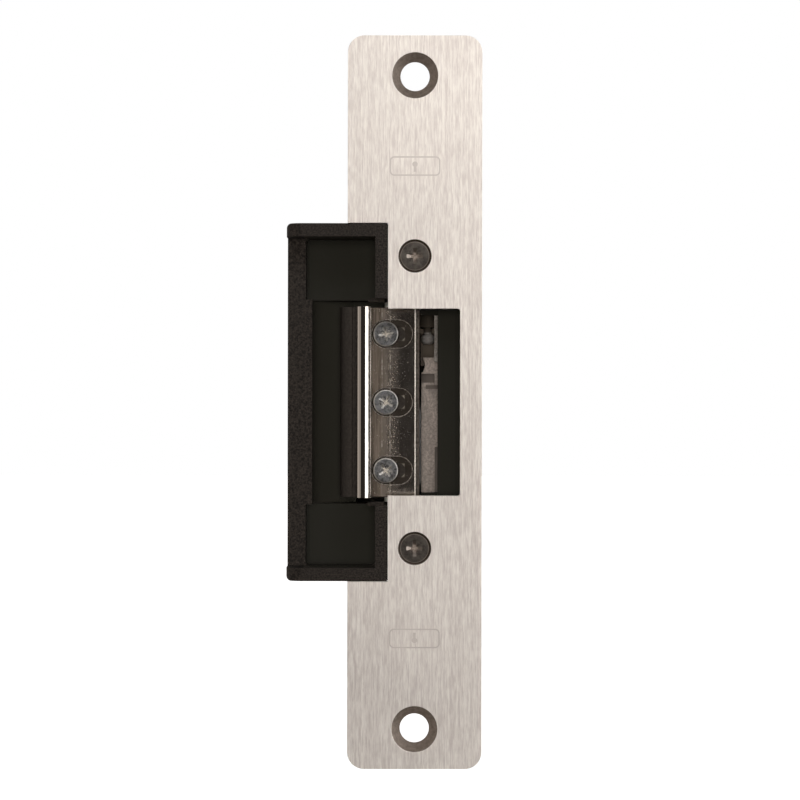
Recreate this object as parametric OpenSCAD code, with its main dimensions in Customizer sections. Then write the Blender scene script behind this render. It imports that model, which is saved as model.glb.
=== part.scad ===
// Electric door strike: faceplate, die-cast housing, pivoting keeper with an adjustable jaw,
// and a sliding lock bar lifted by a solenoid. Millimetres, +X right, +Y into the jamb, +Z up.
// The origin is on the faceplate's back face, midway between its two fixing holes.

/* [Faceplate] */
// Height of the faceplate
plate_h = 174.6; // [172:0.2:190]
// Width of the faceplate
plate_w = 32; // [31:0.25:36]
// Thickness of the faceplate
plate_t = 3.2; // [2.6:0.1:3.2]
// Radius of the faceplate's four corners
plate_corner_r = 4; // [2:0.5:6]
// Distance between the two fixing holes
fixing_pitch = 155.6; // [152:0.2:160]
// Diameter of a fixing hole
fixing_d = 7; // [5:0.25:7]
// Diameter of a fixing hole's countersink
fixing_csk_d = 11; // [10:0.5:12]
// Height of the latch opening
opening_h = 44.6; // [42:0.2:45]
// Right-hand edge of the latch opening
opening_x = 10.8; // [10:0.05:12]

/* [Housing] */
// Height of the housing
body_h = 85.2; // [84.8:0.1:86]
// Left-hand edge of the lip
lip_x = -30.65; // [-31:0.05:-30.4]
// Depth of the lip's face behind the faceplate's back
lip_y = 7; // [6.8:0.1:7.2]
// Right-hand side of the housing
body_x = 14.3; // [14:0.1:15]
// Depth of the cast housing
body_y = 36.4; // [36.2:0.1:38]
// Thickness of the top and bottom flanges
flange_t = 3.1; // [2.8:0.1:3.4]
// Distance between the two screws that hold the faceplate to the housing
assembly_pitch = 69.6; // [68:0.2:71]

/* [Keeper] */
// Height of the jaw
jaw_h = 45.6; // [44:0.2:46]
// Thickness of the jaw's nose wall
nose_t = 3.45; // [3.2:0.05:3.5]
// Diameter of the pivot shaft
shaft_d = 4; // [3.8:0.1:4]
// Sideways adjustment of the jaw
jaw_travel = 3; // [2:0.25:3]
// Distance between neighbouring jaw screws
jaw_screw_pitch = 16.5; // [16:0.1:16.8]

/* [Lock] */
// Travel of the lock bar and plunger
lock_travel = 3; // [2.6:0.1:3]
// Diameter of the solenoid plunger
plunger_d = 5.8; // [5.4:0.1:5.8]
// Outside diameter of the coil winding
coil_d = 13.2; // [12:0.2:13.4]

/* [Hidden] */

$fn = 64;
eps = 0.05;
gap = 0.1;

// Faceplate edges
front_y = -plate_t;
notch_x = -6.4;
notch_h = body_h + 0.2;
fixing_z = fixing_pitch / 2;
assembly_z = assembly_pitch / 2;
assembly_hole_r = 2;
assembly_csk_r = 4;
assembly_head_r = 3.45;
assembly_sink = 0.2;

// Housing faces
half_h = body_h / 2;
side_x = -15.9;
rim_x = notch_x - 0.2;
rim_w = 2.8;
lip_t = 2.5;
lip_inner_x = -24.75;
lip_outer_rim_x = -26.3;
curl_r = 4;
outer_r = 1.2;
recess_r = 0.8;
recess_y = 14;
recess_z0 = 24.8;
recess_z1 = half_h - flange_t;
pocket_z = recess_z0;
floor_x = 5.65;
floor_y = 9.5;
floor_t = 2.5;
wall_t = 1.5;
cavity_back_y = 25.6;
rear_y = 27.5;
bay_z = 37.6;
bay_y = 20.3;
bay_x = -6.4;
inner_left_x = side_x + wall_t;
inner_right_x = body_x - wall_t;
cover_t = 1.6;
cover_screw_z = 40.05;
cover_screw_x = [-11.6, 10];

// Keeper: the pivot axis, and the carrier and jaw around it
pivot_x = -3.5;
pivot_y = 15.5;
shaft_r = shaft_d / 2;
shaft_z1 = 31;
run_gap = 0.04;
barrel_r = 4.2;
carrier_x0 = -18.1;
carrier_x1 = 1.2;
carrier_y0 = 11;
carrier_y1 = 14;
carrier_z = 23.1;
coil_z0 = -13.8;
coil_z1 = -2.8;
lug_z0 = 5.1;
lug_z1 = 6.7;
lug_y0 = 12.5;
lug_y1 = 22;
lug_w = 2;
bush_r = 2.8;
bush_len = 4;
bush_flange_r = 3.8;
bush_flange_t = 1.2;
jaw_x0 = -13.85;
jaw_x1 = 0.33;
jaw_floor_y = 7.3;
jaw_back_y = carrier_y0 - gap;
nose_y = -2.9;
jaw_screw_x = -6.93;
jaw_screw_z = [-jaw_screw_pitch, 0, jaw_screw_pitch];
jaw_head_r = 3.05;
jaw_head_h = 2.2;
jaw_seat_y = 9;
jaw_counterbore_r = 3.35;
jaw_shank_r = 1.5;
jaw_slot_r = 1.75;
jaw_edge_break = 0.2;
jaw_screw_turn = [35, 60, 8];

// Lock: the plunger's axis, and the bar in its channel
axis_x = 3.4;
axis_y = 27.6;
bar_x0 = 1.75;
bar_x1 = 9.5;
bar_y0 = 19.2;
bar_y1 = 24.2;
bar_z0 = -22.2;
bar_z1 = 7.4;
neck_x0 = 2.25;
neck_z1 = 11;
fork_z0 = 17.1;
fork_z1 = 18.3;
riser_y0 = 30.4;
riser_y1 = 31.9;
plunger_r = plunger_d / 2;
head_z0 = 14.4;
head_r = 1.6;
head_edge_r = 1;
plunger_neck_r = 0.9;
plunger_z0 = 18.6;
plunger_z1 = 30.2;
tube_r = plunger_r + 0.1;
tube_t = 0.3;
frame_z0 = 22.4;
frame_z1 = bay_z;
frame_t = 1.6;
frame_x0 = -5.4;
frame_x1 = 10.9;
frame_y0 = 21.2;
frame_y1 = 34;
bracket_t = 0.8;
bobbin_z0 = frame_z0 + frame_t;
bobbin_z1 = frame_z1 - frame_t;
flange_r = 7;
core_clearance = 0.3;
core_z0 = plunger_z1 + lock_travel + core_clearance;
solenoid_screw_dx = 5;
retainer_screw_z = [-16, 2];
retainer_screw_x = 11.2;

// Supply socket in the lower rear bay
socket_x0 = -7.5;
socket_x1 = 4.5;
socket_z0 = -36.6;
socket_z1 = -27.6;
socket_y0 = 26;
socket_y1 = body_y + cover_t + 1;
pin_dx = 2.5;

// Box between two corners
module block(x0, x1, y0, y1, z0, z1) {
    translate([x0, y0, z0]) cube([x1 - x0, y1 - y0, z1 - z0]);
}

// Plan outline carried from z0 up to z1
module prism(z0, z1) {
    translate([0, 0, z0]) linear_extrude(height = z1 - z0) children();
}

// Upright cylinder from z0 to z1
module post(x, y, r, z0, z1) {
    translate([x, y, z0]) cylinder(r = r, h = z1 - z0);
}

// Upright round button with full round edges of radius f
module bead(x, y, r, z0, z1, f) {
    translate([x, y, z0]) rotate_extrude() {
        square([r - f, z1 - z0]);
        translate([0, f]) square([r, z1 - z0 - 2 * f]);
        for (z = [f, z1 - z0 - f]) translate([r - f, z]) intersection() {
            circle(r = f);
            translate([0, -f]) square([f, 2 * f]);
        }
    }
}

// Cylinder along +Y from y0 to y1, with an end radius for a cone
module rod_y(x, z, r, y0, y1, r_end = -1) {
    translate([x, y0, z]) rotate([-90, 0, 0]) cylinder(r1 = r, r2 = r_end < 0 ? r : r_end, h = y1 - y0);
}

// Rectangle with true round corners, centred on the origin
module rounded_rect(w, h, r) {
    square([w - 2 * r, h], center = true);
    square([w, h - 2 * r], center = true);
    for (sx = [-1, 1], sy = [-1, 1])
        translate([sx * (w / 2 - r), sy * (h / 2 - r)]) circle(r = r);
}

// Front elevation (X and Z) carried along +Y from y0 to y1
module elevation(y0, y1) {
    translate([0, y1, 0]) rotate([90, 0, 0]) linear_extrude(height = y1 - y0) children();
}

// Waste outside a round corner at (x, y), whose square lies towards (sx, sy)
module corner_waste(x, y, r, sx, sy) {
    translate([x, y]) difference() {
        translate([sx > 0 ? 0 : -r - 1, sy > 0 ? 0 : -r - 1]) square(r + 1);
        circle(r = r);
    }
}

// Cross-recess of a Phillips screw with sloped walls, cut along +Y from a head's face at y
module cross_recess(x, z, y, reach, wide, depth, turn) {
    narrow = wide * 0.5;
    intersection() {
        rod_y(x, z, reach, y - eps, y + depth, reach * 0.4);
        for (a = [0, 90])
            translate([x, y, z]) rotate([0, a - turn, 0]) translate([-reach, 0, 0]) rotate([0, 90, 0])
                linear_extrude(height = 2 * reach) polygon([
                    [-wide, -2 * eps], [wide, -2 * eps], [narrow, depth + eps], [-narrow, depth + eps]
                ]);
    }
}

// Pan-head screw along +Y: its seat is at y, and its shank runs on behind
module pan_screw(x, z, y, head_r, head_h, shank_r, shank, turn = 20) {
    difference() {
        union() {
            translate([x, y, z]) rotate([90, 0, 0]) rotate_extrude() pan_profile(head_r, head_h);
            rod_y(x, z, shank_r, y - eps, y + shank);
        }
        cross_recess(x, z, y - head_h, head_r * 0.64, head_r * 0.1, head_h * 0.3, turn);
    }
}

// Half profile of a pan head with a rounded shoulder
module pan_profile(r, h) {
    shoulder = h * 0.16;
    square([r - shoulder, h]);
    square([r, h - shoulder]);
    translate([r - shoulder, h - shoulder]) intersection() {
        circle(r = shoulder);
        square(shoulder);
    }
}

// Flat-head screw along +Y with its head's face at y
module flat_screw(x, z, y, head_r, head_h, shank_r, length, turn = 0) {
    difference() {
        union() {
            rod_y(x, z, head_r, y, y + 0.2);
            rod_y(x, z, head_r, y + 0.2, y + head_h, shank_r);
            rod_y(x, z, shank_r, y + head_h - eps, y + length);
        }
        cross_recess(x, z, y, head_r * 0.6, head_r * 0.15, head_h * 0.5, turn);
    }
}

// Points along a helix round the Z axis
function helix(r, z0, z1, turns, steps = 20) =
    let (count = floor(turns * steps))
    [for (i = [0:count]) let (a = 360 * i / steps) [r * cos(a), r * sin(a), z0 + (z1 - z0) * i / count]];

// The same route with each corner cut to a quarter and three quarters of its sides, n times over
function softened(route, n = 2) =
    n == 0 ? route : softened([
        for (i = [0:len(route) - 2]) let (a = route[i], b = route[i + 1])
            each [i == 0 ? a : a * 0.75 + b * 0.25, i == len(route) - 2 ? b : a * 0.25 + b * 0.75]
    ], n - 1);

function unit(v) = v / norm(v);

// Direction of the path at its point i
function heading(path, i) = unit(path[min(i + 1, len(path) - 1)] - path[max(i - 1, 0)]);

// Side vector of each ring, carried along the path so that the tube doesn't twist
function sides_of(path) = [
    for (i = 0, s = unit(cross(heading(path, 0), [0.3, 0.2, 1])); i < len(path);
        i = i + 1, s = i < len(path) ? let (t = heading(path, i)) unit(s - t * (s * t)) : s) s
];

// Round wire along a path
module wire_along(path, r, sides = 8) {
    side = sides_of(path);
    rings = [for (i = [0:len(path) - 1]) let (t = heading(path, i), u = side[i], v = cross(t, u))
        for (k = [0:sides - 1]) path[i] + r * (u * cos(360 * k / sides) + v * sin(360 * k / sides))];
    skin = [for (i = [0:len(path) - 2], k = [0:sides - 1]) let (n = (k + 1) % sides)
        [i * sides + k, i * sides + n, (i + 1) * sides + n, (i + 1) * sides + k]];
    last = (len(path) - 1) * sides;
    ends = [[for (k = [sides - 1:-1:0]) k], [for (k = [0:sides - 1]) last + k]];
    polyhedron(points = rings, faces = [for (f = concat(skin, ends)) [for (k = [len(f) - 1:-1:0]) f[k]]],
        convexity = 8);
}

// Flat plate with the latch opening, the housing's notch and four countersunk holes
module faceplate() {
    color("lightgray") difference() {
        elevation(front_y, 0) difference() {
            rounded_rect(plate_w, plate_h, plate_corner_r);
            translate([-plate_w, -notch_h / 2]) square([plate_w + notch_x, notch_h]);
            opening_outline();
        }
        for (s = [-1, 1]) {
            rod_y(0, s * fixing_z, fixing_d / 2, front_y - 1, 1);
            rod_y(0, s * fixing_z, fixing_csk_d / 2 + eps, front_y - eps, front_y + 2.3, fixing_d / 2);
            rod_y(0, s * assembly_z, assembly_hole_r, front_y - 1, 1);
            rod_y(0, s * assembly_z, assembly_csk_r + eps, front_y - eps, front_y + 2, assembly_hole_r);
        }
    }
}

// Latch opening, open on its left and with small round corners on its right
module opening_outline() {
    r = 0.6;
    difference() {
        translate([notch_x - 1, -opening_h / 2]) square([opening_x - notch_x + 1, opening_h]);
        for (s = [-1, 1]) corner_waste(opening_x - r, s * (opening_h / 2 - r), r, 1, s);
    }
}

// Two flat-head screws that hold the faceplate to the housing
module faceplate_screws() {
    color("dimgray") for (s = [-1, 1])
        flat_screw(0, s * assembly_z, front_y + assembly_sink, assembly_head_r, 1.7, 1.75, 12);
}

// Plan outline of the casting: deep behind the faceplate, shallower behind the lip
module housing_outline() {
    back_r = 1.5;
    difference() {
        polygon([
            [lip_x, front_y], [rim_x, front_y], [rim_x, 0], [body_x, 0], [body_x, body_y],
            [side_x, body_y], [side_x, rear_y], [lip_x + 8.6, rear_y], [lip_x, lip_y + 10]
        ]);
        corner_waste(lip_x + curl_r, front_y + curl_r, curl_r, -1, -1);
        corner_waste(body_x - back_r, body_y - back_r, back_r, 1, 1);
        corner_waste(side_x + back_r, body_y - back_r, back_r, -1, 1);
    }
}

// Plan of the space that the keeper swings in, with a sloped back and an undercut below the lip
module keeper_cavity() {
    polygon([
        [lip_inner_x, lip_y - eps], [lip_inner_x, lip_y + 0.8], [lip_inner_x - 1, lip_y + lip_t],
        [lip_x + 2, lip_y + lip_t], [lip_x + 2, 12.4], [-15, cavity_back_y],
        [floor_x, cavity_back_y], [floor_x, lip_y - eps]
    ]);
}

// Channel rails for the lock bar, and the stop below it
module bar_rails() {
    rail_top = 12;
    block(bar_x1 - 2.9, inner_right_x + eps, bar_y0 - 1.6, bar_y0 - gap, -pocket_z, rail_top);
    block(bar_x1 + gap, inner_right_x + eps, bar_y0 - gap - eps, bar_y1 + gap, -pocket_z, rail_top);
    block(bar_x0, inner_right_x + eps, bar_y0 - 1.6, bar_y1 + gap, -pocket_z - eps, bar_z0 - gap);
}

// Web above the lock bar's window, and the two small ledges at the keeper's ends
module housing_webs() {
    web_z = 21.2;
    ledge_t = 0.75;
    block(carrier_x1 + 0.4, floor_x + eps, floor_y + floor_t - eps, floor_y + 4.2, web_z, pocket_z + eps);
    for (s = [0, 1]) mirror([0, 0, s])
        block(-11.2, -7.3, 0.5, lip_y, pocket_z - ledge_t, pocket_z + eps);
}

// Square recess above the keeper, with round corners at its top
module recess_outline() {
    x1 = rim_x - rim_w;
    difference() {
        translate([lip_outer_rim_x, recess_z0]) square([x1 - lip_outer_rim_x, recess_z1 - recess_z0]);
        corner_waste(lip_outer_rim_x + recess_r, recess_z1 - recess_r, recess_r, -1, 1);
        corner_waste(x1 - recess_r, recess_z1 - recess_r, recess_r, 1, 1);
    }
}

// Everything that is hollow in the casting
module housing_hollows() {
    top = body_y + 1;
    block(lip_x - 1, rim_x - rim_w, front_y - 1, lip_y, -recess_z1, recess_z1);
    block(lip_x - 1, floor_x, front_y - 1, lip_y, -pocket_z, pocket_z);
    block(floor_x - eps, opening_x, -1, floor_y, -opening_h / 2 - 0.3, opening_h / 2 + 0.3);
    for (s = [0, 1]) mirror([0, 0, s]) elevation(lip_y - 1, recess_y) recess_outline();
    prism(-pocket_z, pocket_z) keeper_cavity();
    block(-1, inner_right_x, floor_y + floor_t, top, -pocket_z, pocket_z);
    block(inner_left_x, 0, rear_y, top, -bay_z, bay_z);
    block(bay_x, inner_right_x, bay_y, top, pocket_z - 5, bay_z);
    block(inner_left_x, inner_right_x, socket_y0 - 1, top, -bay_z, -pocket_z + 1);
}

// Bores of the pivot shaft and tapped holes for the screws
module housing_holes() {
    post(pivot_x, pivot_y, shaft_r, -half_h - 1, shaft_z1);
    for (s = [-1, 1]) {
        rod_y(0, s * assembly_z, 1.75, -1, 11);
        for (x = cover_screw_x) rod_y(x, s * cover_screw_z, 1.25, body_y - 7, body_y + 1);
        translate([axis_x + s * solenoid_screw_dx, axis_y, 0]) {
            post(0, 0, 1.6, bay_z - 1, half_h + 1);
            translate([0, 0, half_h - 1.6]) cylinder(r1 = 1.6, r2 = 3.2, h = 1.6 + eps);
        }
    }
    for (z = retainer_screw_z) rod_y(retainer_screw_x, z, 1, bar_y1 - 4.5, bar_y1 + 1);
}

// Die-cast body: lip and flanges in front, lock channel and solenoid bay behind
module housing() {
    color([0.1, 0.1, 0.11]) difference() {
        union() {
            difference() {
                prism(-half_h, half_h) housing_outline();
                for (s = [-1, 1]) elevation(front_y - 1, body_y + 1)
                    corner_waste(lip_x + outer_r, s * (half_h - outer_r), outer_r, -1, s);
                housing_hollows();
            }
            bar_rails();
            housing_webs();
        }
        housing_holes();
    }
}

// Steel cover over the back of the housing
module back_cover() {
    color("silver") difference() {
        translate([(body_x + side_x) / 2, 0, 0]) elevation(body_y, body_y + cover_t)
            rounded_rect(body_x - side_x - 0.4, body_h - 0.4, 2);
        for (s = [-1, 1], x = cover_screw_x)
            rod_y(x, s * cover_screw_z, 1.6, body_y - 1, body_y + cover_t + 1);
        block(socket_x0 - 0.2, socket_x1 + 0.2, body_y - 1, body_y + cover_t + 1,
            socket_z0 - 0.2, socket_z1 + 0.2);
    }
}

// Four pan-head screws that hold the cover, driven from behind
module cover_screws() {
    color("silver") for (s = [-1, 1], x = cover_screw_x)
        translate([x, body_y + cover_t, s * cover_screw_z]) rotate([0, 0, 180])
            pan_screw(0, 0, 0, 2.3, 1.5, 1.25, 6);
}

// Plan of the carrier's plate, with a round bead and a groove beside the jaw
module carrier_profile() {
    bead_r = 1.4;
    groove_w = 0.8;
    groove_x = jaw_x0 - 0.5 - groove_w;
    difference() {
        translate([carrier_x0, carrier_y0]) square([carrier_x1 - carrier_x0, carrier_y1 - carrier_y0]);
        corner_waste(carrier_x0 + bead_r, carrier_y0 + bead_r, bead_r, -1, -1);
        translate([groove_x, carrier_y0 - 1]) square([groove_w, 2]);
    }
}

// Hinged carrier: a plate that the jaw is clamped to, and the barrel that turns on the shaft
module keeper_carrier() {
    color([0.13, 0.13, 0.14]) difference() {
        union() {
            prism(-carrier_z, carrier_z) carrier_profile();
            post(pivot_x, pivot_y, barrel_r, -carrier_z, carrier_z);
        }
        post(pivot_x, pivot_y, shaft_r + run_gap, -carrier_z - 1, carrier_z + 1);
        for (s = [0, 1]) mirror([0, 0, s])
            post(pivot_x, pivot_y, bush_r, carrier_z - bush_len, carrier_z + 1);
        block(pivot_x - barrel_r - eps, pivot_x + barrel_r + eps, carrier_y0 + 1.1, 21, coil_z0, coil_z1);
        block(carrier_x1 - lug_w, carrier_x1 + 1, lug_y0, lug_y1, lug_z0, lug_z1);
        for (z = jaw_screw_z) rod_y(jaw_screw_x, z, jaw_shank_r, carrier_y0 - 1, carrier_y1 + 0.2);
    }
}

// Hardened lug set into the carrier, which the lock bar blocks
module keeper_lug() {
    color("darkgray") block(carrier_x1 - lug_w, carrier_x1, lug_y0, lug_y1, lug_z0, lug_z1);
}

// Plan of the jaw: a wall with a half-round nose, standing on a flat foot
module jaw_profile() {
    r = nose_t / 2;
    translate([jaw_x0 + r, nose_y + r]) circle(r = r);
    translate([jaw_x0, nose_y + r]) square([nose_t, jaw_back_y - nose_y - r]);
    polygon([
        [jaw_x0, jaw_floor_y], [jaw_x1 - 2 * jaw_edge_break, jaw_floor_y],
        [jaw_x1, jaw_floor_y + jaw_edge_break], [jaw_x1, jaw_back_y], [jaw_x0, jaw_back_y]
    ]);
}

// Straight slot with round ends, from the screw's place towards +X
module jaw_slot(z, r, y0, y1) {
    for (dx = [0, jaw_travel]) rod_y(jaw_screw_x + dx, z, r, y0, y1);
    block(jaw_screw_x, jaw_screw_x + jaw_travel, y0, y1, z - r, z + r);
}

// Adjustable jaw with three counterbored slots, whose rims are broken
module keeper_jaw() {
    color("gainsboro") difference() {
        prism(-jaw_h / 2, jaw_h / 2) jaw_profile();
        for (z = jaw_screw_z) {
            jaw_slot(z, jaw_counterbore_r, jaw_floor_y - 1, jaw_seat_y);
            jaw_slot(z, jaw_slot_r, jaw_seat_y - 1, jaw_back_y + 1);
            jaw_slot_rim(z);
        }
    }
}

// Chamfer round a counterbored slot
module jaw_slot_rim(z) {
    r = jaw_counterbore_r;
    y = jaw_floor_y;
    c = jaw_edge_break;
    for (dx = [0, jaw_travel]) rod_y(jaw_screw_x + dx, z, r + c + eps, y - eps, y + c, r);
    translate([jaw_screw_x, 0, z]) rotate([0, 90, 0]) linear_extrude(height = jaw_travel)
        polygon([[-r - c - eps, y - eps], [r + c + eps, y - eps], [r, y + c], [-r, y + c]]);
}

// Three pan-head screws that clamp the jaw to the carrier
module jaw_screws() {
    color("lightsteelblue") for (i = [0:len(jaw_screw_z) - 1])
        pan_screw(jaw_screw_x, jaw_screw_z[i], jaw_seat_y - gap, jaw_head_r, jaw_head_h, jaw_shank_r,
            carrier_y1 - jaw_seat_y + gap, jaw_screw_turn[i]);
}

// Steel shaft that the keeper turns on, pressed into the housing from below
module pivot_shaft() {
    color("silver") difference() {
        post(pivot_x, pivot_y, shaft_r, -half_h + 1.5, shaft_z1);
        block(pivot_x - 3, pivot_x + 3, pivot_y - 0.4, pivot_y + 0.4, -half_h, -half_h + 2.3);
    }
}

// Flanged bushings pressed into both ends of the carrier's barrel
module pivot_bushings() {
    color("ivory") for (s = [0, 1]) mirror([0, 0, s]) difference() {
        union() {
            post(pivot_x, pivot_y, bush_r, carrier_z - bush_len, carrier_z);
            post(pivot_x, pivot_y, bush_flange_r, carrier_z, carrier_z + bush_flange_t);
        }
        post(pivot_x, pivot_y, shaft_r + run_gap, carrier_z - bush_len - 1, carrier_z + bush_flange_t + 1);
    }
}

// Torsion spring round the shaft that swings the keeper shut
module return_spring() {
    r = 2.75;
    wire = 0.35;
    z0 = coil_z0 + 0.6;
    z1 = coil_z1 - 0.6;
    color("silver") translate([pivot_x, pivot_y, 0]) {
        wire_along(concat(
            [[r, -2.4, z0]],
            helix(r, z0, z1, 9.25),
            [[-3.8, r, z1], [-6.6, carrier_y1 + 0.4 - pivot_y, z1]]
        ), wire);
    }
}

// Lock bar with the notch that lets the keeper's lug pass, and the fork that the plunger lifts
module lock_bar() {
    groove_z = 3.25;
    relief_x = 5.05;
    relief_z = -11;
    waist_r = 2.6;
    color([0.62, 0.62, 0.64]) difference() {
        union() {
            block(bar_x0, bar_x1, bar_y0, bar_y1, bar_z0, bar_z1);
            block(neck_x0, bar_x1 - 2.5, bar_y0, bar_y1, bar_z1 - eps, neck_z1);
            block(bar_x0 - 0.1, 5.4, bar_y1 - eps, riser_y1, neck_z1 - 2, neck_z1);
            block(bar_x0 - 0.1, 5.4, riser_y0, riser_y1, neck_z1 - 2, fork_z1);
            block(1, 5.8, axis_y - 1.4, riser_y1, fork_z0, fork_z1);
        }
        rod_y(neck_x0 - waist_r + 0.4, (bar_z1 + neck_z1) / 2, waist_r, bar_y0 - 1, bar_y1 + 0.01);
        block(bar_x0 - 1, 5, bar_y0 - 1, lug_y1 + 0.4, lug_z0 - 0.3, lug_z1 + 0.3);
        block(bar_x0 + 1.1, bar_x1 + 1, bar_y0 - 1, bar_y0 + 0.7, groove_z, groove_z + 0.95);
        block(relief_x, bar_x1 + 1, bar_y0 - 1, bar_y0 + 0.8, bar_z0 - 1, relief_z);
        post(axis_x, axis_y, plunger_neck_r + 0.2, fork_z0 - 1, fork_z1 + 1);
        block(axis_x - plunger_neck_r - 0.2, axis_x + plunger_neck_r + 0.2, axis_y - 3, axis_y,
            fork_z0 - 1, fork_z1 + 1);
    }
}

// Bent strap that keeps the lock bar in its channel
module bar_retainer() {
    y0 = bar_y1 + gap;
    color("silver") difference() {
        union() {
            block(0.6, 12.6, y0, y0 + 1.2, -20, 5);
            block(0.6, bar_x0 - gap, bar_y0 + 0.2, y0 + eps, -20, -2);
        }
        for (z = retainer_screw_z) rod_y(retainer_screw_x, z, 1.2, y0 - 1, y0 + 2);
        block(0, 3, y0 - 6, y0 + 2, -1, 6);
    }
}

// Two screws that hold the strap
module retainer_screws() {
    color("silver") for (z = retainer_screw_z)
        translate([retainer_screw_x, bar_y1 + gap + 1.2, z]) rotate([0, 0, 180])
            pan_screw(0, 0, 0, 1.55, 1.2, 1, 5);
}

// Solenoid plunger, with a button end that hangs in the lock bar's fork
module plunger() {
    color("gray") difference() {
        union() {
            bead(axis_x, axis_y, head_r, head_z0, fork_z0 - gap, head_edge_r);
            post(axis_x, axis_y, plunger_neck_r, fork_z0 - 0.2, plunger_z0 + eps);
            post(axis_x, axis_y, plunger_r, plunger_z0, plunger_z1);
        }
        post(axis_x, axis_y, 1.7, plunger_z1 - 5.8, plunger_z1 + 1);
    }
}

// Light compression spring that drops the plunger when the current stops
module plunger_spring() {
    color("silver") translate([axis_x, axis_y, 0])
        wire_along(helix(1.25, plunger_z1 - 5.5, core_z0 - core_clearance, 8, 16), 0.25, 6);
}

// Bent steel frame round the coil
module solenoid_frame() {
    color("darkgray") difference() {
        union() {
            block(frame_x0, frame_x1, frame_y0, frame_y1, frame_z0, bobbin_z0);
            block(frame_x0, frame_x1, frame_y0, frame_y1, bobbin_z1, frame_z1);
            block(frame_x0, frame_x0 + frame_t, frame_y0, frame_y1, frame_z0, frame_z1);
        }
        post(axis_x, axis_y, tube_r + tube_t, frame_z0 - 1, bobbin_z0 + 1);
        post(axis_x, axis_y, tube_r - 0.05, bobbin_z1 - 1, frame_z1 + 1);
        for (s = [-1, 1]) post(axis_x + s * solenoid_screw_dx, axis_y, 1.25, bobbin_z1 - 1, frame_z1 + 1);
    }
}

// Stamped bracket below the solenoid, with a leaf that guards the plunger's end
module guide_bracket() {
    z0 = frame_z0 - bracket_t;
    leaf_x0 = 4.85;
    leaf_t = 0.85;
    leaf_y0 = 14;
    leaf_z0 = 9.9;
    color("darkgray") difference() {
        union() {
            block(leaf_x0, leaf_x0 + leaf_t, leaf_y0, bar_y0 - 0.4, leaf_z0, frame_z0);
            block(leaf_x0, frame_x1, leaf_y0, bay_y + 1, z0, frame_z0);
            block(-2, frame_x1, bay_y + 0.9, 33, z0, frame_z0);
        }
        post(axis_x, axis_y, tube_r + tube_t, z0 - 1, frame_z0 + 1);
    }
}

// Brass tube that the plunger slides in
module guide_tube() {
    color("goldenrod") difference() {
        post(axis_x, axis_y, tube_r + tube_t, frame_z0 - bracket_t, bobbin_z1);
        post(axis_x, axis_y, tube_r, frame_z0 - bracket_t - 1, bobbin_z1 + 1);
    }
}

// Fixed iron core riveted into the top of the frame
module fixed_core() {
    color("gray") post(axis_x, axis_y, tube_r - 0.05, core_z0, frame_z1);
}

// Moulded bobbin
module coil_bobbin() {
    color("white") difference() {
        union() {
            post(axis_x, axis_y, tube_r + tube_t + 0.6, bobbin_z0, bobbin_z1);
            post(axis_x, axis_y, flange_r, bobbin_z0, bobbin_z0 + 1);
            post(axis_x, axis_y, flange_r, bobbin_z1 - 1, bobbin_z1);
        }
        post(axis_x, axis_y, tube_r + tube_t, bobbin_z0 - 1, bobbin_z1 + 1);
    }
}

// Copper winding
module coil_winding() {
    color("peru") difference() {
        post(axis_x, axis_y, coil_d / 2, bobbin_z0 + 1, bobbin_z1 - 1);
        post(axis_x, axis_y, tube_r + tube_t + 0.6, bobbin_z0, bobbin_z1);
    }
}

// Two flat-head screws through the top of the housing into the solenoid frame
module solenoid_screws() {
    color("dimgray") for (s = [-1, 1])
        translate([axis_x + s * solenoid_screw_dx, axis_y, half_h - 0.1]) rotate([-90, 0, 0])
            flat_screw(0, 0, 0, 2.5, 1.5, 1.25, 6.3);
}

// Two-pole socket for the supply, held between the cover and the housing
module supply_socket() {
    shell = 1;
    color("dimgray") difference() {
        union() {
            block(socket_x0, socket_x1, socket_y0, socket_y1, socket_z0, socket_z1);
            block(socket_x0 - 1.5, socket_x1 + 1.5, body_y - 2.5, body_y, socket_z0 - 0.8, socket_z1 + 1.5);
        }
        block(socket_x0 + shell, socket_x1 - shell, 30, socket_y1 + 1,
            socket_z0 + shell, socket_z1 - shell);
        block(-2.5, -0.5, socket_y1 - 4, socket_y1 + 1, socket_z1 - 1 - eps, socket_z1 + eps);
        for (s = [-1, 1]) rod_y(-1.5 + s * pin_dx, (socket_z0 + socket_z1) / 2, 0.6, socket_y0 + 1, 31);
    }
}

// Contact pins of the socket
module socket_pins() {
    color("gold") for (s = [-1, 1])
        rod_y(-1.5 + s * pin_dx, (socket_z0 + socket_z1) / 2, 0.6, socket_y0 + 1, 37);
}

// Insulated lead from the coil, down the rear space, to the socket
module lead_red() {
    route = [
        [-1, 34, 25], [-1, 34.8, 25], [-9.5, 34.8, 25], [-9.5, 34.8, -20],
        [-5, 31, -23], [-5, 31, -27.6]
    ];
    color("firebrick") wire_along(softened(route), 0.55);
}

// The coil's second lead
module lead_black() {
    route = [[-1, 34, 27], [-1, 34.8, 27], [-11.5, 34.8, 27], [-11.5, 34.8, -18], [-8, 33, -23], [1.5, 33, -25],
        [1.5, 33, -27.6]];
    color("black") wire_along(softened(route), 0.55);
}

faceplate();
faceplate_screws();
housing();
back_cover();
cover_screws();
keeper_carrier();
keeper_lug();
keeper_jaw();
jaw_screws();
pivot_shaft();
pivot_bushings();
return_spring();
lock_bar();
bar_retainer();
retainer_screws();
plunger();
plunger_spring();
solenoid_frame();
guide_bracket();
guide_tube();
fixed_core();
coil_bobbin();
coil_winding();
solenoid_screws();
supply_socket();
socket_pins();
lead_red();
lead_black();
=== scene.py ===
"""Looks of the electric door strike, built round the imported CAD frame. Metres, in the row's frame."""
import math

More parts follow.
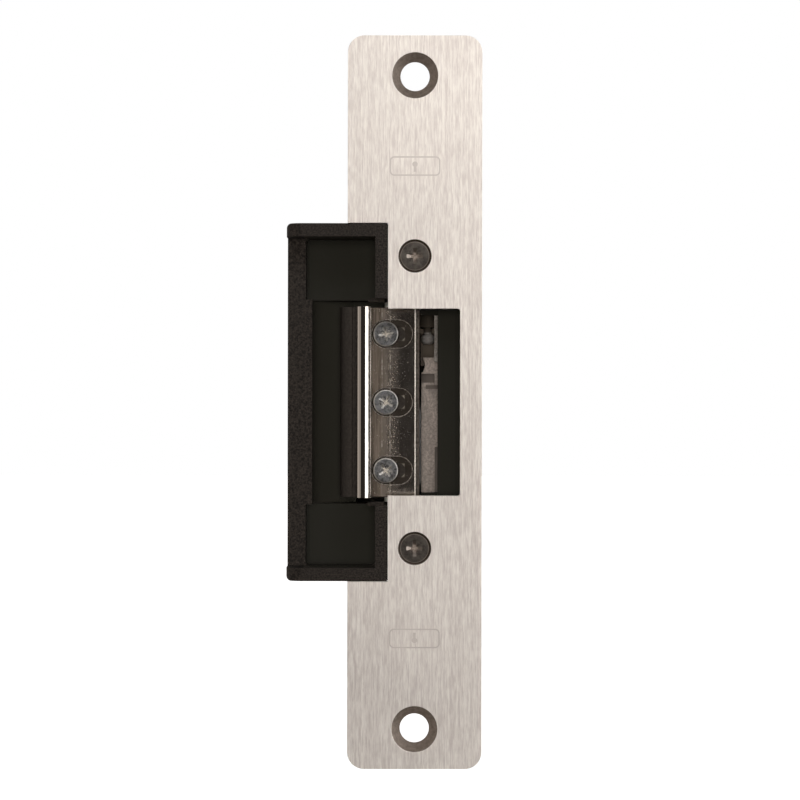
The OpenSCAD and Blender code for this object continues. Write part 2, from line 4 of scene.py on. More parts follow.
import bpy
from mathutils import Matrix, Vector

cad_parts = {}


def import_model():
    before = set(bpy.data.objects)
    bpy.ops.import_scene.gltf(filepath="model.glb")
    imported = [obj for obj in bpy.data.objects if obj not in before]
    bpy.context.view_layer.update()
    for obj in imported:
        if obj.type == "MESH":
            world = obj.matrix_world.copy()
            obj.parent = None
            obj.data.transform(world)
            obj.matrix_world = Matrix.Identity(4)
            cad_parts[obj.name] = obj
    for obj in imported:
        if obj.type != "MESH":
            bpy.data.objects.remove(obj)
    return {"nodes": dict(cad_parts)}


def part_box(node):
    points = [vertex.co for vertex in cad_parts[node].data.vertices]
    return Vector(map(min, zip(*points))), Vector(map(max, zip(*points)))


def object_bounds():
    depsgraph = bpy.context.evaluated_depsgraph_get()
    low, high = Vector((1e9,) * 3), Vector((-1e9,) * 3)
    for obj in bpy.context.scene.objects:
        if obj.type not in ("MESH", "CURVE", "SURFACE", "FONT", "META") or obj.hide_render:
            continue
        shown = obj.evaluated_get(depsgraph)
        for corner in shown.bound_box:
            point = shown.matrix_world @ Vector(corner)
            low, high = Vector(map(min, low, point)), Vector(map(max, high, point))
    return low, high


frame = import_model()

CAD_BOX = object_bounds()
NODES = frame["nodes"]
MM = 0.001

# Heights, above and below the part's middle, of what the looks follow.
FIXING_HOLES = 77.8 * MM
BADGES = 56.2 * MM
FACEPLATE_SCREWS = 34.8 * MM
JAW_SCREWS = 16.5 * MM


# ---------------------------------------------------------------- camera, floor and light

def make_camera():
    """A long lens square to the faceplate, aimed a little left of it, where the lip balances the picture."""
    lens, sensor, view_width = 120.0, 36.0, 190.35 * MM
    aim_x, aim_z, tilt = -3.5 * MM, 0.53 * MM, -0.08
    front = CAD_BOX[0].y
    data = bpy.data.cameras.new("camera")
    data.lens, data.sensor_width = lens, sensor
    data.clip_start, data.clip_end = 0.01, 20.0
    cam = bpy.data.objects.new("camera", data)
    bpy.context.scene.collection.objects.link(cam)
    cam.location = (aim_x, front - view_width * lens / sensor, aim_z)
    cam.rotation_euler = (math.radians(90), math.radians(tilt), 0)
    bpy.context.scene.camera = cam


def make_light(name, size, power, place, colour, target=(0, 0, 0), mirrored=True, scattered=True):
    """A softbox that faces its target. Unmirrored it gives no highlights, unscattered only highlights."""
    data = bpy.data.lights.new(name, "AREA")
    data.shape, data.size, data.size_y = "RECTANGLE", size[0], size[1]
    data.energy, data.color = power, colour
    light = bpy.data.objects.new(name, data)
    light.visible_glossy = mirrored
    light.visible_diffuse = scattered
    light.location = place
    light.rotation_euler = (Vector(target) - Vector(place)).to_track_quat("-Z", "Y").to_euler()
    bpy.context.scene.collection.objects.link(light)


def make_world():
    """White for the camera. What the metal reflects is dark on the camera's side and pale behind."""
    dark, pale, dark_to_pale = 0.03, 0.45, (-0.2, 0.7)
    warm, white = (1.0, 0.9, 0.82), (1.0, 1.0, 1.0)
    world = bpy.data.worlds.new("studio")
    bpy.context.scene.world = world
    world.use_nodes = True
    tree = world.node_tree
    background = tree.nodes["Background"]
    seen = tree.nodes.new("ShaderNodeLightPath").outputs["Is Camera Ray"]
    coord = tree.nodes.new("ShaderNodeTexCoord")
    split = tree.nodes.new("ShaderNodeSeparateXYZ")
    tree.links.new(coord.outputs["Generated"], split.inputs[0])
    dim = spread(tree, split.outputs["Y"], dark, pale, dark_to_pale)
    tree.links.new(larger(tree, seen, dim), background.inputs["Strength"])
    tree.links.new(blend_colours(tree, seen, warm, white), background.inputs["Color"])


def make_floor():
    """A large pale floor a little below the part, which hangs free as it would in a jamb."""
    half, drop = 4.0, 45 * MM
    mesh = bpy.data.meshes.new("floor")
    z = CAD_BOX[0].z - drop
    corners = [(-half, -half, z), (half, -half, z), (half, half, z), (-half, half, z)]
    mesh.from_pydata(corners, [], [(0, 1, 2, 3)])
    floor = bpy.data.objects.new("floor", mesh)
    bpy.context.scene.collection.objects.link(floor)
    mat, _, shader = new_material("floor_paper")
    shader.inputs["Base Color"].default_value = (0.9, 0.9, 0.9, 1)
    shader.inputs["Roughness"].default_value = 0.9
    shader.inputs["Emission Color"].default_value = (1, 1, 1, 1)
    shader.inputs["Emission Strength"].default_value = 1.0
    mesh.materials.append(mat)
    floor.visible_glossy = False
    floor.visible_diffuse = False


# ---------------------------------------------------------------- material helpers

def new_material(name):
    """A material, its tree and its Principled shader."""
    mat = bpy.data.materials.new(name)
    mat.use_nodes = True
    return mat, mat.node_tree, mat.node_tree.nodes["Principled BSDF"]


def position(tree):
    """X, Y and Z of the point on the piece, in the row's frame."""
    coord = tree.nodes.new("ShaderNodeTexCoord")
    split = tree.nodes.new("ShaderNodeSeparateXYZ")
    tree.links.new(coord.outputs["Object"], split.inputs[0])
    return split.outputs


def noise(tree, per_metre, detail, roughness=0.5):
    """Fractal noise, 0 to 1, with its features a metre given once or for each axis."""
    coord = tree.nodes.new("ShaderNodeTexCoord")
    mapping = tree.nodes.new("ShaderNodeMapping")
    scale = per_metre if isinstance(per_metre, tuple) else (per_metre,) * 3
    mapping.inputs["Scale"].default_value = scale
    tree.links.new(coord.outputs["Object"], mapping.inputs["Vector"])
    node = tree.nodes.new("ShaderNodeTexNoise")
    node.inputs["Scale"].default_value = 1.0
    node.inputs["Detail"].default_value = detail
    node.inputs["Roughness"].default_value = roughness
    tree.links.new(mapping.outputs["Vector"], node.inputs["Vector"])
    return node.outputs["Fac"]


def spread(tree, value, low, high, source=(0.3, 0.7)):
    """value from the source range carried over to low..high."""
    node = tree.nodes.new("ShaderNodeMapRange")
    node.inputs["From Min"].default_value, node.inputs["From Max"].default_value = source
    node.inputs["To Min"].default_value, node.inputs["To Max"].default_value = low, high
    tree.links.new(value, node.inputs["Value"])
    return node.outputs["Result"]


def math_node(tree, operation, *values):
    """One step of arithmetic on sockets or numbers."""
    node = tree.nodes.new("ShaderNodeMath")
    node.operation = operation
    for socket, value in zip(node.inputs, values):
        if isinstance(value, (int, float)):
            socket.default_value = value
        else:
            tree.links.new(value, socket)
    return node.outputs["Value"]


def plus(tree, a, b):
    return math_node(tree, "ADD", a, b)


def minus(tree, a, b):
    return math_node(tree, "SUBTRACT", a, b)


def times(tree, a, b):
    return math_node(tree, "MULTIPLY", a, b)


def larger(tree, a, b):
    return math_node(tree, "MAXIMUM", a, b)


def smaller(tree, a, b):
    return math_node(tree, "MINIMUM", a, b)


def unsigned(tree, a):
    return math_node(tree, "ABSOLUTE", a)


def length_of(tree, a, b):
    """Length of the diagonal with sides a and b."""
    return math_node(tree, "SQRT", plus(tree, times(tree, a, a), times(tree, b, b)))


def band(tree, value, centre, half_width, edge=0.04 * MM):
    """1 within half_width of centre, 0 outside, with a soft edge."""
    away = unsigned(tree, minus(tree, value, centre))
    return spread(tree, away, 1.0, 0.0, (half_width, half_width + edge))


def past(tree, value, start, end):
    """0 up to start, 1 from end on."""
    return spread(tree, value, 0, 1, (start, end))


def before(tree, value, start, end):
    """1 up to start, 0 from end on."""
    return spread(tree, value, 1, 0, (start, end))


def blend_colours(tree, factor, first, second):
    """Mix of two colours, each a tuple or a socket."""
    node = tree.nodes.new("ShaderNodeMix")
    node.data_type = "RGBA"
    for socket, value in ((node.inputs[6], first), (node.inputs[7], second)):
        if isinstance(value, tuple):
            socket.default_value = (*value, 1)
        else:
            tree.links.new(value, socket)
    tree.links.new(factor, node.inputs[0])
    return node.outputs[2]


def mottle_colour(tree, grain, source, colour, dark, pale):
    """colour, darkened and lightened by the grain to the two factors given."""
    return blend_colours(tree, spread(tree, grain, 0, 1, source), tint(colour, dark), tint(colour, pale))


def tint(colour, factor):
    """colour made darker or paler, and no more than white."""
    return tuple(min(1.0, c * factor) for c in colour)


def bump(tree, shader, height, depth):
    """Relief of the given depth in metres."""
    node = tree.nodes.new("ShaderNodeBump")
    node.inputs["Distance"].default_value = depth
    node.inputs["Strength"].default_value = 1.0
    tree.links.new(height, node.inputs["Height"])
    tree.links.new(node.outputs["Normal"], shader.inputs["Normal"])


# ---------------------------------------------------------------- materials of the visible pieces

def etched_mark(tree, x, height):
    """1 on the plain keyhole badge etched near each end of the faceplate, 0 elsewhere."""
    half_w, half_h, corner, line = 6.0 * MM, 2.3 * MM, 1.1 * MM, 0.28 * MM
    hole_r, slot_w, slot_drop = 0.62 * MM, 0.26 * MM, 1.35 * MM
    across = unsigned(tree, x)
    up = minus(tree, height, BADGES)
    past_corner_x = larger(tree, minus(tree, across, half_w - corner), 0.0)
    past_corner_z = larger(tree, minus(tree, unsigned(tree, up), half_h - corner), 0.0)
    edge = minus(tree, length_of(tree, past_corner_x, past_corner_z), corner)
    outline = band(tree, edge, -line / 2, line / 2)
    hole_up = minus(tree, up, slot_drop / 3)
    hole = band(tree, length_of(tree, across, hole_up), 0.0, hole_r)
    slot = times(tree, band(tree, across, 0.0, slot_w), band(tree, up, -slot_drop / 2, slot_drop / 2))
    return larger(tree, outline, larger(tree, hole, slot))


def faceplate_steel(name, colour):
    """Stainless brushed along its height, with turned countersinks and an etched badge near each end."""
    fixing_cut_r, screw_cut_r, cut_edge = 5.6 * MM, 4.08 * MM, 0.05 * MM
    dark_cone, pale_cone, coated_cone = (0.195, 0.16, 0.135), (0.315, 0.265, 0.228), (0.06, 0.044, 0.033)
    mat, tree, shader = new_material(name)
    x, y, z = position(tree)
    height = unsigned(tree, z)
    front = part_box("faceplate")[0].y
    short_lines = noise(tree, (3600, 3600, 330), 3.0, 0.65)
    long_lines = noise(tree, (2600, 2600, 20), 2.0, 0.6)
    cloud = noise(tree, 35, 2.0)
    turned = noise(tree, 1100, 3.0, 0.6)
    grain = plus(tree, times(tree, short_lines, 0.72), times(tree, long_lines, 0.28))
    base = mottle_colour(tree, grain, (0.38, 0.62), colour, 0.84, 1.1)

    below_front = past(tree, y, front + 0.01 * MM, front + 0.05 * MM)
    sunk = times(tree, below_front, before(tree, y, -0.08 * MM, -0.02 * MM))
    to_fixing = length_of(tree, x, minus(tree, height, FIXING_HOLES))
    to_screw = length_of(tree, x, minus(tree, height, FACEPLATE_SCREWS))
    fixing_cut = times(tree, band(tree, to_fixing, 0.0, fixing_cut_r, cut_edge), sunk)
    screw_cut = times(tree, band(tree, to_screw, 0.0, screw_cut_r, cut_edge), sunk)
    cone = blend_colours(tree, spread(tree, turned, 0, 1), dark_cone, pale_cone)
    base = blend_colours(tree, fixing_cut, base, cone)
    base = blend_colours(tree, screw_cut, base, coated_cone)
    cut = larger(tree, fixing_cut, screw_cut)
    tree.links.new(spread(tree, cut, 1.0, 0.35, (0, 1)), shader.inputs["Metallic"])

    mark = times(tree, etched_mark(tree, x, height), spread(tree, grain, 0.5, 0.9))
    mark = times(tree, mark, before(tree, y, front + 0.1 * MM, front + 0.2 * MM))
    base = blend_colours(tree, mark, base, tint(colour, 0.72))
    tree.links.new(base, shader.inputs["Base Color"])
    rough = times(tree, spread(tree, grain, 0.5, 0.62), spread(tree, cloud, 0.96, 1.04))
    rough = plus(tree, rough, times(tree, mark, 0.12))
    tree.links.new(rough, shader.inputs["Roughness"])
    bump(tree, shader, grain, 0.004 * MM)
    return mat


def recess_walls(tree, x, z):
    """1 on the side walls of the casting's hollows, which are painted lighter against their shade, 0 on its
    faces and its outside.
    """
    middle_x, half_width, half_height = -10.5 * MM, 16.0 * MM, 39.6 * MM
    coord = tree.nodes.new("ShaderNodeTexCoord")
    facing = tree.nodes.new("ShaderNodeSeparateXYZ")
    tree.links.new(coord.outputs["Normal"], facing.inputs[0])
    steep = before(tree, unsigned(tree, facing.outputs["Y"]), 0.3, 0.8)
    inside = times(tree, band(tree, x, middle_x, half_width), band(tree, z, 0.0, half_height))
    return times(tree, steep, inside)


def painted_light_behind(tree, base, face):
    """The casting's colour, with painted shade just behind face and painted light further back and in the
    window, and how far back a point is, 0 to 1.
    """
    painted_shade_near, painted_lift_deep, painted_wall_lift = (0.0118, 0.0112, 0.009), (0.05, 0.051, 0.042), (0.07, 0.065, 0.053)
    x, y, z = position(tree)
    back = past(tree, y, face, face + 0.5 * MM)
    # Painted light: the hollows go from painted shade just behind face to a painted lift deep in, and the
    # window is lifted too.
    deep = past(tree, y, face, face + 20 * MM)
    window = spread(tree, x, 0, 0.3, (4.0 * MM, 5.2 * MM))
    hollow = blend_colours(tree, larger(tree, deep, window), painted_shade_near, painted_lift_deep)
    base = blend_colours(tree, back, base, hollow)
    # Painted light: the hollows' steep side walls are painted lighter against the shade on them.
    base = blend_colours(tree, recess_walls(tree, x, z), base, painted_wall_lift)
    return base, back


def rub_highlight_and_shade(tree, base, grain, colour, edge):
    """The coat's colour: rubbed grey right of edge, partly wear and partly a painted edge highlight, and
    painted shade well left of it.
    """
    rubbed_highlight_grey, rub_width = (0.155, 0.137, 0.12), 0.1 * MM
    x = position(tree)["X"]
    # Painted shade darkens the coat well left of edge.
    left_painted_shade = spread(tree, x, 0.75, 0, (edge - 18.4 * MM, edge - 15.6 * MM))
    base = blend_colours(tree, left_painted_shade, base, tint(colour, 0.3))
    # Right of edge: rubbed grey, partly wear and partly a painted edge highlight.
    rubbed = past(tree, x, edge - rub_width, edge + rub_width)
    rubbed = times(tree, rubbed, spread(tree, grain, 0.3, 1.0, (0.4, 0.6)))
    return blend_colours(tree, rubbed, base, rubbed_highlight_grey)


def coated_metal(name, colour, rough, texture, relief, contrast, smooth_behind=None, rubbed_lit_from=None):
    """Black coat with a fine grain.

    Behind smooth_behind, along Y, it is smoother, with painted shade near there and painted light deeper in.
    Right of rubbed_lit_from it is rubbed grey, partly wear and partly a painted edge highlight, with painted
    shade well left of there.
    """
    mat, tree, shader = new_material(name)
    grain = noise(tree, texture, 3.0, 0.55)
    cloud = noise(tree, 90, 3.0)
    base = mottle_colour(tree, grain, (0.36, 0.66), colour, 1 - contrast, 1 + contrast * 1.5)
    height = grain
    if smooth_behind is not None:
        base, back = painted_light_behind(tree, base, smooth_behind)
        height = times(tree, grain, spread(tree, back, 1.0, 0.15, (0, 1)))
    if rubbed_lit_from is not None:
        base = rub_highlight_and_shade(tree, base, grain, colour, rubbed_lit_from)
    tree.links.new(base, shader.inputs["Base Color"])
    shade = times(tree, spread(tree, grain, rough[0], rough[1]), spread(tree, cloud, 0.9, 1.1))
    tree.links.new(shade, shader.inputs["Roughness"])
    shader.inputs["Specular IOR Level"].default_value = 0.14
    bump(tree, shader, height, relief)
    return mat


def jaw_marks_and_highlight(tree, x, lo, hi, flat, edge, ragged, dots):
    """Bare specks and two scored lines on the jaw's flat, and a painted highlight along its edge."""
    first_line, second_line = lo.x + 6.0 * MM, lo.x + 7.95 * MM
    least_dot = spread(tree, x, 0.72, 0.75, (lo.x + 7.5 * MM, hi.x))
    specks = past(tree, minus(tree, dots, least_dot), 0, 0.03)
    lines = larger(tree, band(tree, x, first_line, 0.05 * MM), band(tree, x, second_line, 0.08 * MM))
    lines = times(tree, lines, spread(tree, ragged, 0.3, 0.9, (0.35, 0.6)))
    marks = times(tree, times(tree, flat, larger(tree, specks, lines)), 0.75)
    # Painted highlight: a pale, ragged line along the counterbore rims and the foot's edge.
    edge_painted_highlight = times(tree, edge, spread(tree, ragged, 0.3, 0.8, (0.35, 0.6)))
    return larger(tree, marks, edge_painted_highlight)


def seat_glint(tree, x, z, lo, seat):
    """The light caught in the right-hand end of each counterbore."""
    place, half_width, half_height = lo.x + 11.0 * MM, 0.25 * MM, 1.1 * MM
    height = unsigned(tree, z)
    up = smaller(tree, unsigned(tree, minus(tree, height, JAW_SCREWS)), height)
    glint = band(tree, x, place, half_width, 0.35 * MM)
    glint = times(tree, glint, band(tree, up, 0.0, half_height, 0.7 * MM))
    return times(tree, glint, times(tree, seat, 0.8))


def worn_plating(name, colour):
    """The jaw's plating: rubbed dull beside the nose, partly wear and partly a painted reflection, and still
    bright, with specks, further right. Painted highlights run along its nose and edges, and painted shade
    darkens its counterbores.
    """
    dark_streak, pale_streak, seat_shade = (0.135, 0.108, 0.086), (0.3, 0.253, 0.212), (0.06, 0.051, 0.042)
    glint_white, bare_and_highlight, nose_highlight_white = (0.75, 0.7, 0.6), (0.52, 0.48, 0.43), (0.88, 0.86, 0.82)
    mat, tree, shader = new_material(name)
    x, y, z = position(tree)
    lo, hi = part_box("keeper_jaw")
    floor = hi.y - 3.6 * MM
    fine = noise(tree, (6000, 6000, 120), 3.0, 0.6)
    broad = noise(tree, (1500, 1500, 60), 2.0, 0.6)
    ragged = noise(tree, (1600, 1600, 700), 4.0, 0.65)
    dots = noise(tree, 4300, 1.0)
    streaks = times(tree, plus(tree, fine, broad), 0.5)

    foot = past(tree, y, floor - 0.3 * MM, floor - 0.05 * MM)
    on_foot = past(tree, x, lo.x + 3.5 * MM, lo.x + 3.6 * MM)
    edge = times(tree, band(tree, y, floor + 0.17 * MM, 0.11 * MM), on_foot)
    flat = times(tree, foot, minus(tree, 1.0, edge))
    seat = past(tree, y, floor + 0.5 * MM, floor + 0.7 * MM)
    place = plus(tree, x, times(tree, ragged, 2.4 * MM))
    rubbed = times(tree, flat, before(tree, place, lo.x + 6.4 * MM, lo.x + 11.6 * MM))
    marks = jaw_marks_and_highlight(tree, x, lo, hi, flat, edge, ragged, dots)

    dull = times(tree, rubbed, spread(tree, streaks, 0.06, 0.16))
    haze = times(tree, flat, spread(tree, ragged, 0.02, 0.14))
    rough = larger(tree, larger(tree, dull, haze), times(tree, marks, 0.3))
    tree.links.new(plus(tree, 0.08, rough), shader.inputs["Roughness"])

    nose_line = band(tree, x, lo.x + 2.9 * MM, 0.12 * MM, 0.08 * MM)
    nose_line = times(tree, nose_line, spread(tree, ragged, 0.45, 1.0, (0.3, 0.55)))
    # Painted highlight: a white, speckled line along the nose's right edge.
    nose_painted_highlight = band(tree, x, lo.x + 3.28 * MM, 0.15 * MM, 0.06 * MM)
    nose_painted_highlight = times(tree, nose_painted_highlight, spread(tree, dots, 0.1, 1.0, (0.4, 0.5)))
    nose_painted_highlight = times(tree, nose_painted_highlight, minus(tree, 1.0, foot))

    plating = blend_colours(tree, nose_line, tint(colour, 0.78), tint(colour, 0.06))
    # The rubbed zone beside the nose: partly wear, partly a painted brown reflection.
    dull_and_painted_reflection = blend_colours(tree, spread(tree, streaks, 0, 1, (0.40, 0.60)), dark_streak, pale_streak)
    base = blend_colours(tree, rubbed, plating, dull_and_painted_reflection)
    # Painted shade in the counterbores and everything deeper.
    base = blend_colours(tree, seat, base, seat_shade)
    base = blend_colours(tree, seat_glint(tree, x, z, lo, seat), base, glint_white)
    # Pale metal on the specks and lines, and the painted edge highlight in the same colour.
    base = blend_colours(tree, marks, base, bare_and_highlight)
    base = blend_colours(tree, nose_painted_highlight, base, nose_highlight_white)
    tree.links.new(base, shader.inputs["Base Color"])

    # Less metal on the marks, the rubbed zone and the painted highlights.
    unplated_and_highlight = larger(tree, times(tree, marks, 0.75), times(tree, rubbed, 0.45))
    unplated_and_highlight = larger(tree, unplated_and_highlight, times(tree, nose_painted_highlight, 0.85))
    metal = minus(tree, minus(tree, 1.0, unplated_and_highlight), times(tree, seat, 0.5))
    tree.links.new(metal, shader.inputs["Metallic"])
    bump(tree, shader, times(tree, streaks, flat), 0.002 * MM)
    return mat


def casting(name, colour, shade_from, shade_to, axis="Y", metal=0.35, face=None):
    """Cast or turned part: grain, stains, painted shade on all behind its face, and painted shade past a
    point along one axis.
    """
    painted_shade_colour = (0.17, 0.146, 0.118)
    mat, tree, shader = new_material(name)
    place = position(tree)
    grain = noise(tree, 2100, 3.0, 0.6)
    stain = noise(tree, (700, 700, 260), 4.0, 0.65)
    base = mottle_colour(tree, grain, (0.36, 0.64), colour, 0.74, 1.26)
    base = blend_colours(tree, spread(tree, stain, 0, 0.7, (0.42, 0.66)), base, tint(colour, 0.52))
    if face is not None:
        # Painted shade on all that lies behind the face.
        hollow = past(tree, place["Y"], face + 0.2 * MM, face + 0.4 * MM)
        base = blend_colours(tree, hollow, base, tint(colour, 0.4))
    # Painted shade from shade_from to shade_to along the axis, and on past it.
    base = blend_colours(tree, past(tree, place[axis], shade_from, shade_to), base, painted_shade_colour)
    tree.links.new(base, shader.inputs["Base Color"])
    tree.links.new(spread(tree, stain, 0.38, 0.52), shader.inputs["Roughness"])
    shader.inputs["Metallic"].default_value = metal
    bump(tree, shader, grain, 0.012 * MM)
    return mat


def screw_heads(name, colour, worn_and_lit, node, pitch, middle, head_r, reach, mottle):
    """Plated Phillips heads: a painted highlight ring on the rim, and pale metal in the recess and its
    middle, partly driver wear and partly a painted glint.

    The heads face -Y on one vertical line, pitch apart, with one in the middle too when middle is set.
    A head's recess ends at reach from its centre.
    """
    mat, tree, shader = new_material(name)
    x, y, z = position(tree)
    lo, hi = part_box(node)
    height = unsigned(tree, z)
    up = unsigned(tree, minus(tree, height, pitch))
    if middle:
        up = smaller(tree, up, height)
    away = length_of(tree, minus(tree, x, (lo.x + hi.x) / 2), up)
    sunk = minus(tree, y, lo.y)
    grain = noise(tree, 1900, 4.0, 0.65)
    cloud = noise(tree, 750, 3.0, 0.6)
    base = mottle_colour(tree, grain, (0.4, 0.6), colour, 1 - mottle, 1.1)
    base = blend_colours(tree, spread(tree, cloud, 0, 0.6, (0.42, 0.6)), base, tint(colour, 1.35))

    # Painted highlight: a pale ring round the rim of each head.
    rim = band(tree, away, head_r, 0.06 * MM, 0.08 * MM)
    rim = times(tree, rim, before(tree, sunk, 0.3 * MM, 0.4 * MM))
    # Pale recess and middle: partly driver wear, partly a painted glint.
    recess = times(tree, past(tree, sunk, 0.05 * MM, 0.12 * MM), band(tree, away, 0.0, reach, 0.1 * MM))
    core = times(tree, band(tree, away, 0.0, reach * 0.3, reach * 0.35), spread(tree, grain, 0.5, 1.0))
    driven_wear_and_glint = times(tree, recess, larger(tree, core, 0.25))
    # rubbed here also carries the painted highlight ring and the painted glint.
    rubbed = larger(tree, driven_wear_and_glint, times(tree, rim, 0.4))
    scuffs = spread(tree, grain, 0.0, mottle * 0.85, (0.47, 0.6))
    scuffs = times(tree, band(tree, away, 0.0, reach * 0.5, reach * 0.5), scuffs)
    rubbed = larger(tree, rubbed, scuffs)
    tree.links.new(blend_colours(tree, rubbed, base, worn_and_lit), shader.inputs["Base Color"])
    tree.links.new(spread(tree, cloud, 0.28, 0.42), shader.inputs["Roughness"])
    tree.links.new(spread(tree, rubbed, 0.9, 0.35, (0, 1)), shader.inputs["Metallic"])
    bump(tree, shader, grain, 0.006 * MM)
    return mat


# ---------------------------------------------------------------- plain materials

def brushed_metal(name, colour, rough, along, contrast=0.1, grain=7000, stretch=150):
    """Metal with fine scratches that run along one axis."""
    mat, tree, shader = new_material(name)
    scratches = tuple(grain / stretch if axis == along else grain for axis in "XYZ")
    fine = noise(tree, scratches, 4.0, 0.6)
    cloud = noise(tree, 60, 3.0)
    base = mottle_colour(tree, fine, (0.25, 0.75), colour, 1 - contrast, 1 + contrast)
    tree.links.new(base, shader.inputs["Base Color"])
    shade = times(tree, spread(tree, fine, rough[0], rough[1]), spread(tree, cloud, 0.92, 1.08))
    tree.links.new(shade, shader.inputs["Roughness"])
    shader.inputs["Metallic"].default_value = 1.0
    bump(tree, shader, fine, 0.004 * MM)
    return mat


def plated_metal(name, colour, rough):
    """Bright plating with faint haze and small pits."""
    haze = 0.06
    mat, tree, shader = new_material(name)
    pits = noise(tree, 900, 4.0)
    broad = noise(tree, 120, 2.0)
    base = mottle_colour(tree, pits, (0.3, 0.7), colour, 1 - haze, 1 + haze)
    tree.links.new(base, shader.inputs["Base Color"])
    tree.links.new(spread(tree, broad, rough[0], rough[1]), shader.inputs["Roughness"])
    shader.inputs["Metallic"].default_value = 1.0
    bump(tree, shader, pits, 0.006 * MM)
    return mat


def moulded(name, colour, rough, subsurface=0.0):
    """Plastic, nylon or insulation with a fine moulded grain."""
    mat, tree, shader = new_material(name)
    fine = noise(tree, 3000, 2.0)
    broad = noise(tree, 150, 3.0)
    base = mottle_colour(tree, broad, (0.3, 0.7), colour, 0.88, 1.08)
    tree.links.new(base, shader.inputs["Base Color"])
    tree.links.new(spread(tree, fine, rough[0], rough[1]), shader.inputs["Roughness"])
    shader.inputs["Subsurface Weight"].default_value = subsurface
    bump(tree, shader, fine, 0.02 * MM)
    return mat


# ---------------------------------------------------------------- dressing the CAD nodes

def soften_edges(node, width):
    """Small round edges on a CAD node, by modifiers that leave its own mesh alone."""
    obj = NODES[node]
    weld = obj.modifiers.new("weld", "WELD")
    weld.merge_threshold = 0.002 * MM
    flat = obj.modifiers.new("flat_faces", "DECIMATE")
    flat.decimate_type = "DISSOLVE"
    flat.angle_limit = math.radians(0.3)
    bevel = obj.modifiers.new("round_edges", "BEVEL")
    bevel.width = width
    bevel.segments = 2
    bevel.limit_method = "ANGLE"
    bevel.angle_limit = math.radians(35)
    normals = obj.modifiers.new("even_normals", "WEIGHTED_NORMAL")
    normals.keep_sharp = False


def dress(material, *nodes):
    """Gives CAD nodes their material."""
    for node in nodes:
        for entry in NODES[node].material_slots:
            entry.material = material


def dress_plate_and_casting():
    """Faceplate, its screws and the black pieces."""
    dress(faceplate_steel("brushed_stainless", (0.95, 0.86, 0.805)), "faceplate")
    heads = screw_heads("black_oxide", (0.16, 0.142, 0.125), (0.48, 0.41, 0.36), "faceplate_screws",
                        FACEPLATE_SCREWS, middle=False, head_r=3.36 * MM, reach=2.1 * MM, mottle=0.2)
    dress(heads, "faceplate_screws")
    coat = coated_metal("powder_coat", (0.0242, 0.0204, 0.0176), (0.52, 0.66), texture=2500,
                        relief=0.05 * MM, contrast=0.6, smooth_behind=7.5 * MM)
    dress(coat, "housing")
    coat = coated_metal("satin_black", (0.048, 0.0425, 0.038), (0.4, 0.5), texture=1800,
                        relief=0.01 * MM, contrast=0.15, rubbed_lit_from=0.4 * MM)
    dress(coat, "keeper_carrier")


def dress_keeper():
    """The jaw, what clamps it and what it turns on."""
    dress(worn_plating("nickel_plate", (0.80, 0.73, 0.66)), "keeper_jaw")
    heads = screw_heads("clear_zinc", (0.27, 0.274, 0.282), (0.85, 0.8, 0.72), "jaw_screws",
                        JAW_SCREWS, middle=True, head_r=2.9 * MM, reach=1.95 * MM, mottle=0.6)
    dress(heads, "jaw_screws")
    dress(brushed_metal("hardened_steel", (0.35, 0.34, 0.33), (0.25, 0.4), "X"), "keeper_lug")
    dress(brushed_metal("ground_steel", (0.6, 0.6, 0.6), (0.2, 0.3), "X"), "pivot_shaft")


def dress_lock():
    """The lock bar, and the leaf and the plunger's end beside it, seen through the opening."""
    bar_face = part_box("lock_bar")[0].y
    # shade_from and shade_to set where painted shade starts on each part.
    cast = casting("cast_zinc", (0.5, 0.447, 0.412), shade_from=24.0 * MM, shade_to=24.6 * MM, face=bar_face)
    turned = casting("turned_iron", (1.0, 0.96, 0.92), shade_from=17.0 * MM, shade_to=17.6 * MM,
                     axis="Z", metal=0.72)
    stamped = casting("stamped_leaf", (0.45, 0.425, 0.4), shade_from=19.0 * MM, shade_to=24.0 * MM,
                      metal=0.5)
    dress(cast, "lock_bar")
    dress(turned, "plunger")
    dress(stamped, "guide_bracket")


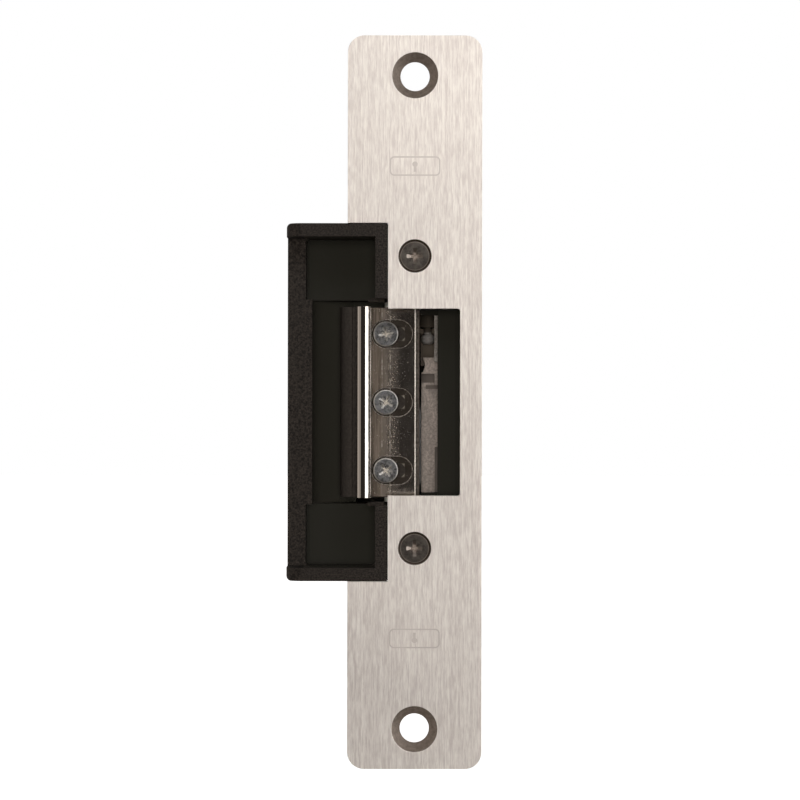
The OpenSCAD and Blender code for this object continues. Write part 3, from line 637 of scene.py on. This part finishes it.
def dress_inside():
    """Everything that is out of sight from the front."""
    sheet = brushed_metal("zinc_sheet", (0.62, 0.63, 0.63), (0.32, 0.5), "X",
                          contrast=0.06, grain=2500, stretch=12)
    copper = brushed_metal("wound_copper", (0.7, 0.3, 0.13), (0.3, 0.4), "X",
                           contrast=0.2, grain=3000, stretch=10)
    dress(sheet, "back_cover", "solenoid_frame", "bar_retainer")
    dress(plated_metal("zinc_screws", (0.6, 0.6, 0.6), (0.3, 0.42)), "cover_screws", "retainer_screws")
    dress(plated_metal("black_screws", (0.2, 0.175, 0.16), (0.32, 0.45)), "solenoid_screws")
    dress(brushed_metal("soft_iron", (0.42, 0.42, 0.43), (0.3, 0.45), "X"), "fixed_core")
    dress(plated_metal("spring_wire", (0.5, 0.5, 0.52), (0.25, 0.35)), "return_spring", "plunger_spring")
    dress(moulded("nylon", (0.8, 0.78, 0.7), (0.4, 0.55), subsurface=0.1), "coil_bobbin", "pivot_bushings")
    dress(plated_metal("drawn_brass", (0.8, 0.6, 0.28), (0.2, 0.32)), "guide_tube", "socket_pins")
    dress(copper, "coil_winding")
    dress(moulded("black_nylon", (0.02, 0.02, 0.021), (0.4, 0.55)), "supply_socket")
    dress(moulded("red_sleeve", (0.45, 0.02, 0.015), (0.35, 0.45)), "lead_red")
    dress(moulded("black_sleeve", (0.018, 0.018, 0.018), (0.35, 0.45)), "lead_black")


def round_all():
    """Round edges, in millimetres, where they show."""
    for node, width in (
        ("faceplate", 0.2), ("housing", 0.3), ("back_cover", 0.15), ("keeper_carrier", 0.2),
        ("keeper_jaw", 0.15), ("lock_bar", 0.15), ("bar_retainer", 0.1), ("solenoid_frame", 0.15),
        ("supply_socket", 0.12),
    ):
        soften_edges(node, width * MM)


bpy.context.scene.view_settings.view_transform = "Standard"
make_camera()
make_world()
make_floor()
make_light("key", (1.45, 1.6), 19.8, (0.87, -0.56, 0.1), (1.0, 0.985, 0.965), scattered=False)
make_light("top", (1.2, 0.6), 7.8, (-0.05, -0.9, 0.8), (1.0, 0.98, 0.955), (0, 0, 0.04), scattered=False)
make_light("left", (1.3, 1.2), 1.7, (-0.95, -0.1, 0.1), (1.0, 0.93, 0.87))
make_light("fill", (0.4, 0.4), 11.5, (-0.05, -1.35, 0.02), (1.0, 0.92, 0.85), mirrored=False)
dress_plate_and_casting()
dress_keeper()
dress_lock()
dress_inside()
round_all()
